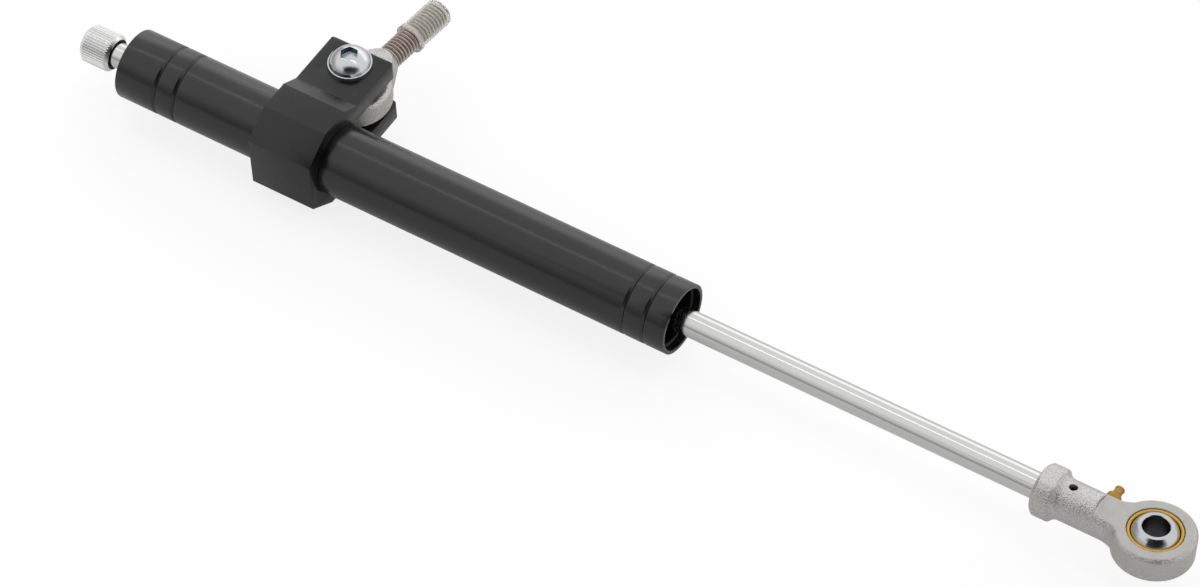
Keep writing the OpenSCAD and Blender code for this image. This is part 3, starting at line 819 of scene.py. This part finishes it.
copper, tree, surface = new_material("copper_plated_brass")
place = add(tree, "ShaderNodeTexCoord")
axes = add(tree, "ShaderNodeSeparateXYZ", {"Vector": place.outputs["Object"]})
rise = add(
    tree,
    "ShaderNodeMapRange",
    {"Value": axes.outputs["Y"], "From Min": 0.0078, "From Max": 0.0092},
)
wear = add(tree, "ShaderNodeTexNoise", {"Vector": place.outputs["Object"], "Scale": 900.0, "Detail": 3.0})
tint = add(
    tree,
    "ShaderNodeMix",
    {0: rise.outputs[0], 6: linear("#A98036"), 7: linear("#A87A48")},
    data_type="RGBA",
)
rough = add(
    tree,
    "ShaderNodeMapRange",
    {"Value": wear.outputs[0], "From Min": 0.3, "From Max": 0.7, "To Min": 0.28, "To Max": 0.42},
)
surface.inputs["Metallic"].default_value = 1.0
tree.links.new(tint.outputs[2], surface.inputs["Base Color"])
tree.links.new(rough.outputs[0], surface.inputs["Roughness"])

nipple_seat = 0.00595
nipple_tip = nipple_seat + 0.0062
nipple = lathe(
    "grease_fitting",
    [(0.0024, 0.00035), (0.0024, 0.0015), (nipple_seat, 0.0015), (nipple_seat, 0.0023)]
    + [(nipple_seat + 0.0024, 0.0023), (nipple_seat + 0.0034, 0.0015), (nipple_tip - 0.0009, 0.0013)]
    + [(nipple_tip - 0.0006, 0.0015), (nipple_tip - 0.0002, 0.0014), (nipple_tip, 0.0011)]
    + [(nipple_tip, 0.00035), (0.0024, 0.00035)],
    48,
)
turn(nipple, 90, "Z")
shift(nipple, (nipple_x, 0, 0))
soften(nipple, 0.0001, 2, 25)
nipple.data.materials.append(copper)
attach(nipple, "rod")
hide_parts("grease_nipple")

# --- Threaded rod end ---
# The second rod end sits between the clamp's ears and ends in a rolled thread, which screws
# into a bracket of the motorcycle. A thin copper flash shows through the zinc on the thread.

thread_start = 0.016
stud_len = 0.0395
pitch = 0.00125
crest_r = 0.00392
root_r = 0.00332

stud_centre = Vector((clamp_x, bolt_y * math.cos(math.radians(clamp_roll)), 0))
stud_centre.z = bolt_y * math.sin(math.radians(clamp_roll))
level = math.sin(math.radians(stud_turn))
stud_way = Vector((math.cos(math.radians(stud_turn)), level * math.cos(math.radians(clamp_roll)), 0))
stud_way.z = level * math.sin(math.radians(clamp_roll))

stud = forging("stud_forging", "stud_end_housing", 0.0003, 3, lambda co: True)
turn(stud, -clamp_roll, "X")
shift(stud, (-clamp_x, -bolt_y, 0))
turn(stud, -stud_turn, "Z")
bpy.ops.object.mode_set(mode="EDIT")
bpy.ops.mesh.select_all(action="SELECT")
bpy.ops.mesh.bisect(
    plane_co=(thread_start, 0, 0), plane_no=(1, 0, 0), clear_outer=True, use_fill=True
)
bpy.ops.object.mode_set(mode="OBJECT")
seat = lathe(
    "seat",
    [(-0.008, 0), (-0.008, lip_r), (-0.003, lip_r), (-0.003, seat_r)]
    + [(0.003, seat_r), (0.003, lip_r), (0.008, lip_r), (0.008, 0)],
    96,
)
turn(seat, -90, "Y")
cut_out(stud, seat)

copper_flash, tree, surface = new_material("zinc_plated_thread")
place = add(tree, "ShaderNodeTexCoord")
axes = add(tree, "ShaderNodeSeparateXYZ", {"Vector": place.outputs["Object"]})
wear = add(tree, "ShaderNodeTexNoise", {"Vector": place.outputs["Object"], "Scale": 600.0, "Detail": 3.0})
drift = add(
    tree,
    "ShaderNodeMath",
    {0: wear.outputs[0], 1: 0.004, 2: axes.outputs["Y"]},
    operation="MULTIPLY_ADD",
)
bare = add(
    tree,
    "ShaderNodeMapRange",
    {"Value": drift.outputs[0], "From Min": 0.051, "From Max": 0.058},
)
aside = add(
    tree,
    "ShaderNodeVectorMath",
    {0: place.outputs["Object"], 1: stud_centre},
    operation="SUBTRACT",
)
aside = add(
    tree, "ShaderNodeVectorMath", {0: aside.outputs[0], 1: stud_way}, operation="CROSS_PRODUCT"
)
radius = add(tree, "ShaderNodeVectorMath", {0: aside.outputs[0]}, operation="LENGTH")
# The thread's roots are painted much darker than its crests, as painted shade between the flanks. The copper flash
# and the zinc are its own colours.
crest = add(
    tree,
    "ShaderNodeMapRange",
    {"Value": radius.outputs["Value"], "From Min": root_r, "From Max": crest_r - 0.0001},
)
flash_and_root_shade = add(
    tree,
    "ShaderNodeMix",
    {0: crest.outputs[0], 6: linear("#786A64"), 7: linear("#D8CAC3")},
    data_type="RGBA",
)
plain = add(
    tree,
    "ShaderNodeMix",
    {0: crest.outputs[0], 6: linear("#565454"), 7: linear("#E4E2E0")},
    data_type="RGBA",
)
tint = add(
    tree,
    "ShaderNodeMix",
    {0: bare.outputs[0], 6: flash_and_root_shade.outputs[2], 7: plain.outputs[2]},
    data_type="RGBA",
)
rough = add(
    tree,
    "ShaderNodeMapRange",
    {"Value": wear.outputs[0], "From Min": 0.3, "From Max": 0.7, "To Min": 0.24, "To Max": 0.4},
)
surface.inputs["Metallic"].default_value = 1.0
tree.links.new(tint.outputs[2], surface.inputs["Base Color"])
tree.links.new(rough.outputs[0], surface.inputs["Roughness"])

turns = 21
bpy.ops.object.select_all(action="DESELECT")
bpy.ops.mesh.primitive_plane_add(size=0.001)
thread = bpy.context.object
thread.name = "thread"
bpy.ops.object.mode_set(mode="EDIT")
bpy.ops.mesh.select_all(action="SELECT")
bpy.ops.mesh.merge(type="CENTER")
bpy.ops.transform.translate(value=(thread_start - pitch, 0, root_r))
flank = [(pitch * 0.36, crest_r - root_r), (pitch * 0.14, 0), (pitch * 0.36, root_r - crest_r)]
for step_x, step_r in flank + [(pitch * 0.14, 0)]:
    bpy.ops.mesh.extrude_region_move(TRANSFORM_OT_translate={"value": (step_x, 0, step_r)})
bpy.ops.object.mode_set(mode="OBJECT")
helix = thread.modifiers.new("helix", "SCREW")
helix.axis = "X"
helix.angle = 2 * math.pi
helix.screw_offset = pitch
helix.iterations = turns
helix.steps = 36
helix.render_steps = 36
helix.use_merge_vertices = True
helix.merge_threshold = 0.000005
bpy.ops.object.modifier_apply(modifier="helix")
bpy.ops.object.mode_set(mode="EDIT")
bpy.ops.mesh.select_all(action="SELECT")
bpy.ops.mesh.remove_doubles(threshold=0.000003)
bpy.ops.mesh.bisect(
    plane_co=(thread_start - 0.0004, 0, 0), plane_no=(-1, 0, 0), clear_outer=True, use_fill=True
)
bpy.ops.mesh.select_all(action="SELECT")
bpy.ops.mesh.bisect(plane_co=(stud_len, 0, 0), plane_no=(1, 0, 0), clear_outer=True, use_fill=True)
bpy.ops.mesh.select_all(action="SELECT")
bpy.ops.mesh.normals_make_consistent(inside=False)
bpy.ops.object.mode_set(mode="OBJECT")
blank = lathe(
    "blank",
    [(thread_start - 0.001, 0), (thread_start - 0.001, 0.0045), (stud_len - 0.0013, 0.0045)]
    + [(stud_len - 0.0007, 0.0039), (stud_len, 0.0031), (stud_len, 0)],
    72,
)
cut_out(thread, blank, "INTERSECT")
shade(thread, 28)
thread.data.materials.append(copper_flash)
stud.data.materials.append(cast)
shade(stud, 40)
stud = join([stud, thread])
into_stud(stud)
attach(stud, "stud")
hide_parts("stud_end_housing")

# --- Thread cap ---
# A push-on cap dipped in soft clear vinyl, which keeps the thread clean until the damper is
# fitted. It is a little cloudy, most where its wall is thick at the bead of the mouth.

bead_end = 0.026 + 0.0014

vinyl = bpy.data.materials.new("clear_dipped_vinyl")
vinyl.use_nodes = True
tree = vinyl.node_tree
tree.nodes.clear()
place = add(tree, "ShaderNodeTexCoord")
wave = add(tree, "ShaderNodeTexNoise", {"Vector": place.outputs["Object"], "Scale": 350.0, "Detail": 2.0})
clear = add(
    tree,
    "ShaderNodeBsdfPrincipled",
    {
        "Base Color": linear("#FFFEFA"),
        "Roughness": 0.02,
        "IOR": 1.2,
        "Transmission Weight": 1.0,
    },
)
cloud = add(
    tree,
    "ShaderNodeBsdfPrincipled",
    {
        "Base Color": linear("#FFFCF2"),
        "Roughness": 0.3,
        "IOR": 1.45,
    },
)
haze = add(
    tree,
    "ShaderNodeMapRange",
    {"Value": wave.outputs[0], "From Min": 0.3, "From Max": 0.7, "To Min": 0.1, "To Max": 0.18},
)
from_centre = add(
    tree, "ShaderNodeVectorMath", {0: place.outputs["Object"], 1: stud_centre}, operation="SUBTRACT"
)
along = add(
    tree, "ShaderNodeVectorMath", {0: from_centre.outputs[0], 1: stud_way}, operation="DOT_PRODUCT"
)
bead = add(
    tree,
    "ShaderNodeMapRange",
    {"Value": along.outputs["Value"], "From Min": bead_end, "From Max": bead_end + 0.0003, "To Min": 0.5, "To Max": 0.0},
)
haze = add(tree, "ShaderNodeMath", {0: haze.outputs[0], 1: bead.outputs[0]}, operation="MAXIMUM")
both = add(tree, "ShaderNodeMixShader", {0: haze.outputs[0], 1: clear.outputs[0], 2: cloud.outputs[0]})
add(tree, "ShaderNodeOutputMaterial", {"Surface": both.outputs[0]})
dress("thread_cap", vinyl)

# --- Glands, bushes and piston ---
# The glands that close the tube are turned from aluminium and anodised black as the tube is.
# The piston is turned from the same bar and left bare. The bushes are sintered bronze.

turned_black, tree, surface = new_material("turned_black_aluminium")
place = add(tree, "ShaderNodeTexCoord")
stretch = add(tree, "ShaderNodeMapping", {"Vector": place.outputs["Object"], "Scale": (400, 5000, 5000)})
feed = add(tree, "ShaderNodeTexNoise", {"Vector": stretch.outputs[0], "Scale": 1.0, "Detail": 2.0})
rough = add(
    tree,
    "ShaderNodeMapRange",
    {"Value": feed.outputs[0], "From Min": 0.3, "From Max": 0.7, "To Min": 0.22, "To Max": 0.36},
)
surface.inputs["Base Color"].default_value = linear("#0E0E0F")
tree.links.new(rough.outputs[0], surface.inputs["Roughness"])
dress("front_gland", turned_black)
dress("back_gland", turned_black)

turned_alu, tree, surface = new_material("turned_aluminium_bare")
place = add(tree, "ShaderNodeTexCoord")
stretch = add(tree, "ShaderNodeMapping", {"Vector": place.outputs["Object"], "Scale": (5000, 300, 300)})
feed = add(tree, "ShaderNodeTexNoise", {"Vector": stretch.outputs[0], "Scale": 1.0, "Detail": 2.0})
rough = add(
    tree,
    "ShaderNodeMapRange",
    {"Value": feed.outputs[0], "From Min": 0.3, "From Max": 0.7, "To Min": 0.24, "To Max": 0.4},
)
surface.inputs["Base Color"].default_value = linear("#D5D6D7")
surface.inputs["Metallic"].default_value = 1.0
tree.links.new(rough.outputs[0], surface.inputs["Roughness"])
dress("piston", turned_alu)

sintered, tree, surface = new_material("sintered_bronze")
place = add(tree, "ShaderNodeTexCoord")
pores = add(tree, "ShaderNodeTexVoronoi", {"Vector": place.outputs["Object"], "Scale": 4000.0})
bump = add(
    tree, "ShaderNodeBump", {"Height": pores.outputs["Distance"], "Strength": 0.3, "Distance": 0.00005}
)
surface.inputs["Base Color"].default_value = linear("#B08A4E")
surface.inputs["Metallic"].default_value = 1.0
surface.inputs["Roughness"].default_value = 0.42
tree.links.new(bump.outputs[0], surface.inputs["Normal"])
dress("front_bush", sintered)
dress("back_bush", sintered)

# --- Needle and guide pin ---
# The needle that meters the oil is turned from bronze, with a threaded end that works in the
# knob. A ground steel pin through the rod keeps it from turning.

turned_steel, tree, surface = new_material("turned_steel")
place = add(tree, "ShaderNodeTexCoord")
stretch = add(tree, "ShaderNodeMapping", {"Vector": place.outputs["Object"], "Scale": (6000, 300, 300)})
feed = add(tree, "ShaderNodeTexNoise", {"Vector": stretch.outputs[0], "Scale": 1.0, "Detail": 2.0})
rough = add(
    tree,
    "ShaderNodeMapRange",
    {"Value": feed.outputs[0], "From Min": 0.3, "From Max": 0.7, "To Min": 0.2, "To Max": 0.34},
)
surface.inputs["Base Color"].default_value = linear("#BDBCBA")
surface.inputs["Metallic"].default_value = 1.0
tree.links.new(rough.outputs[0], surface.inputs["Roughness"])
dress("guide_pin", turned_steel)
dress("needle", bronze)

# --- Seals and rubber rings ---
# Moulded nitrile rubber, matt black with a faint bloom. The wipers at the mouths keep dirt
# off the rod, and the ring in the knob's mouth gives it a light drag.

nitrile, tree, surface = new_material("moulded_nitrile_rubber")
place = add(tree, "ShaderNodeTexCoord")
bloom = add(tree, "ShaderNodeTexNoise", {"Vector": place.outputs["Object"], "Scale": 1200.0, "Detail": 3.0})
rough = add(
    tree,
    "ShaderNodeMapRange",
    {"Value": bloom.outputs[0], "From Min": 0.3, "From Max": 0.7, "To Min": 0.45, "To Max": 0.62},
)
bump = add(tree, "ShaderNodeBump", {"Height": bloom.outputs[0], "Strength": 0.1, "Distance": 0.00004})
surface.inputs["Base Color"].default_value = linear("#161616")
tree.links.new(rough.outputs[0], surface.inputs["Roughness"])
tree.links.new(bump.outputs[0], surface.inputs["Normal"])
for name in (
    "front_rod_seal",
    "back_rod_seal",
    "front_wiper",
    "back_wiper",
    "front_gland_ring",
    "back_gland_ring",
    "band_ring",
    "knob_ring",
    "needle_ring",
):
    dress(name, nitrile)

# --- Circlips and stop rings ---
# Rings of spring steel, blued black by their hardening and oiled. They snap into grooves and
# hold the glands, the piston and the knob.

spring, tree, surface = new_material("oil_blacked_spring_steel")
place = add(tree, "ShaderNodeTexCoord")
scale = add(tree, "ShaderNodeTexNoise", {"Vector": place.outputs["Object"], "Scale": 1400.0, "Detail": 3.0})
rough = add(
    tree,
    "ShaderNodeMapRange",
    {"Value": scale.outputs[0], "From Min": 0.3, "From Max": 0.7, "To Min": 0.28, "To Max": 0.42},
)
surface.inputs["Base Color"].default_value = linear("#2B2B2D")
surface.inputs["Metallic"].default_value = 0.6
tree.links.new(rough.outputs[0], surface.inputs["Roughness"])
for name in (
    "front_circlip",
    "back_circlip",
    "front_stop_ring",
    "back_stop_ring",
    "piston_clips",
    "knob_clip",
):
    dress(name, spring)

# --- Piston band ---
# A strip of bronze-filled sliding plastic, wrapped round the piston and pressed against the
# tube by the rubber ring under it.

sliding, tree, surface = new_material("bronze_filled_sliding_plastic")
place = add(tree, "ShaderNodeTexCoord")
specks = add(tree, "ShaderNodeTexVoronoi", {"Vector": place.outputs["Object"], "Scale": 3000.0})
tint = add(
    tree,
    "ShaderNodeMix",
    {0: specks.outputs["Distance"], 6: linear("#6A6046"), 7: linear("#4B4636")},
    data_type="RGBA",
)
surface.inputs["Roughness"].default_value = 0.4
tree.links.new(tint.outputs[2], surface.inputs["Base Color"])
dress("piston_band", sliding)

# --- Studio ---
# White all round for what the camera and the metal see, with softer light on the object, a
# bright panel behind, a narrow one overhead and the dark side of the room at the front.

world = bpy.data.worlds.new("studio")
bpy.context.scene.world = world
world.use_nodes = True
tree = world.node_tree
tree.nodes.clear()
path = add(tree, "ShaderNodeLightPath")
seen = add(tree, "ShaderNodeMath", {0: path.outputs["Is Camera Ray"], 1: path.outputs["Is Glossy Ray"]}, operation="MAXIMUM")
seen = add(tree, "ShaderNodeMath", {0: seen.outputs[0], 1: path.outputs["Is Transmission Ray"]}, operation="MAXIMUM")
lit = add(tree, "ShaderNodeBackground", {"Color": (1, 1, 1, 1), "Strength": 0.62})
shown = add(tree, "ShaderNodeBackground", {"Color": (1, 1, 1, 1), "Strength": 1.0})
both = add(tree, "ShaderNodeMixShader", {0: seen.outputs[0], 1: lit.outputs[0], 2: shown.outputs[0]})
out = add(tree, "ShaderNodeOutputWorld", {"Surface": both.outputs[0]})

bpy.ops.object.select_all(action="DESELECT")
bpy.ops.mesh.primitive_plane_add(size=8, location=(-0.17, 0, cad_box[0].z - 0.0004))
floor = bpy.context.object
floor.name = "floor"
paper = bpy.data.materials.new("white_paper")
paper.use_nodes = True
tree = paper.node_tree
tree.nodes.clear()
path = add(tree, "ShaderNodeLightPath")
mirrored = add(tree, "ShaderNodeMath", {0: path.outputs["Is Glossy Ray"], 1: path.outputs["Is Transmission Ray"]}, operation="MAXIMUM")
strength = add(tree, "ShaderNodeMath", {0: mirrored.outputs[0], 1: 0.16}, operation="MULTIPLY")
strength = add(tree, "ShaderNodeMath", {0: path.outputs["Is Camera Ray"], 1: 0.8, 2: strength.outputs[0]}, operation="MULTIPLY_ADD")
plain = add(tree, "ShaderNodeBsdfDiffuse", {"Color": linear("#E6E6E6")})
faint = add(tree, "ShaderNodeBsdfDiffuse", {"Color": (0.3, 0.3, 0.3, 1)})
both = add(tree, "ShaderNodeMixShader", {0: path.outputs["Is Camera Ray"], 1: plain.outputs[0], 2: faint.outputs[0]})
glow = add(tree, "ShaderNodeEmission", {"Color": (1, 1, 1, 1), "Strength": strength.outputs[0]})
both = add(tree, "ShaderNodeAddShader", {0: both.outputs[0], 1: glow.outputs[0]})
add(tree, "ShaderNodeOutputMaterial", {"Surface": both.outputs[0]})
floor.data.materials.append(paper)


def lamp(name, place, aim, width, height, radiance):
    """A soft panel. The radiance is what a mirror would show, 1 being white."""
    data = bpy.data.lights.new(name, "AREA")
    data.shape = "RECTANGLE"
    data.size = width
    data.size_y = height
    data.energy = radiance * math.pi * width * height
    light = bpy.data.objects.new(name, data)
    light.location = place
    light.rotation_euler = (Vector(aim) - Vector(place)).to_track_quat("-Z", "Y").to_euler()
    light.visible_camera = False
    bpy.context.scene.collection.objects.link(light)


lamp("panel_behind", (-0.5, 2.2, 1.15), (-0.2, 0, 0), 4.0, 1.1, 0.5)
lamp("strip_overhead", (-0.6, 0.05, 1.8), (-0.6, 0.0, 0), 2.6, 0.12, 1.5)


def dull_panel(name, place, size, turned, low, high):
    """A dull part of the room that only reflections show, duller at its foot than its top."""
    bpy.ops.object.select_all(action="DESELECT")
    bpy.ops.mesh.primitive_plane_add(size=1)
    panel = bpy.context.object
    panel.name = name
    bpy.ops.object.mode_set(mode="EDIT")
    bpy.ops.mesh.select_all(action="SELECT")
    bpy.ops.transform.resize(value=(size[0], size[1], 1))
    bpy.ops.object.mode_set(mode="OBJECT")
    turn(panel, 90, "X")
    turn(panel, turned, "Z")
    shift(panel, place)
    material = bpy.data.materials.new(name)
    material.use_nodes = True
    tree = material.node_tree
    tree.nodes.clear()
    where = add(tree, "ShaderNodeTexCoord")
    height = add(tree, "ShaderNodeSeparateXYZ", {"Vector": where.outputs["Object"]})
    foot = place[2] - size[1] / 2
    grey = add(
        tree,
        "ShaderNodeMapRange",
        {
            "Value": height.outputs["Z"],
            "From Min": foot,
            "From Max": foot + size[1],
            "To Min": low,
            "To Max": high,
        },
    )
    glow = add(tree, "ShaderNodeEmission", {"Color": (1, 1, 1, 1), "Strength": grey.outputs[0]})
    add(tree, "ShaderNodeOutputMaterial", {"Surface": glow.outputs[0]})
    panel.data.materials.append(material)
    panel.visible_camera = False
    panel.visible_diffuse = False
    panel.visible_shadow = False
    return panel


dull_panel("room_front", (0.0, -3.4, 1.15), (12.0, 2.5), 0, 0.27, 1.0)
dull_panel("room_left", (-3.2, 0.2, 0.8), (5.0, 1.6), 90, 0.3, 0.8)
spot_centre = Vector((1.3, -2.3, 2.2))
spot = dull_panel("behind_camera", spot_centre, (9.8, 6.2), 30, 0.0, 0.0)
tree = spot.data.materials[0].node_tree
where = tree.nodes["Texture Coordinate"]
offset = add(
    tree, "ShaderNodeVectorMath", {0: where.outputs["Object"], 1: spot_centre}, operation="SUBTRACT"
)
offset = add(
    tree, "ShaderNodeVectorMath", {0: offset.outputs[0], 1: (1, 1, 1.6)}, operation="MULTIPLY"
)
distance = add(tree, "ShaderNodeVectorMath", {0: offset.outputs[0]}, operation="LENGTH")
fade = add(
    tree,
    "ShaderNodeMapRange",
    {"Value": distance.outputs["Value"], "From Min": 1.6, "From Max": 4.9},
    interpolation_type="SMOOTHSTEP",
)
dark = add(tree, "ShaderNodeEmission", {"Color": (1, 1, 1, 1), "Strength": 0.02})
open_air = add(tree, "ShaderNodeBsdfTransparent")
edge = add(tree, "ShaderNodeMixShader", {0: fade.outputs[0], 1: dark.outputs[0], 2: open_air.outputs[0]})
tree.links.new(edge.outputs[0], tree.nodes["Material Output"].inputs[0])

# --- Camera ---

camera_data = bpy.data.cameras.new("camera")
camera_data.sensor_width = 36
camera_data.lens = 159.80
camera_data.clip_start = 0.1
camera_data.clip_end = 20
camera = bpy.data.objects.new("camera", camera_data)
camera.location = (0.36482, -0.94470, 1.08239)
camera.rotation_euler = [math.radians(a) for a in (45.0535, -2.1213, 32.1227)]
bpy.context.scene.collection.objects.link(camera)
bpy.context.scene.camera = camera

bpy.context.scene.view_settings.view_transform = "Standard"
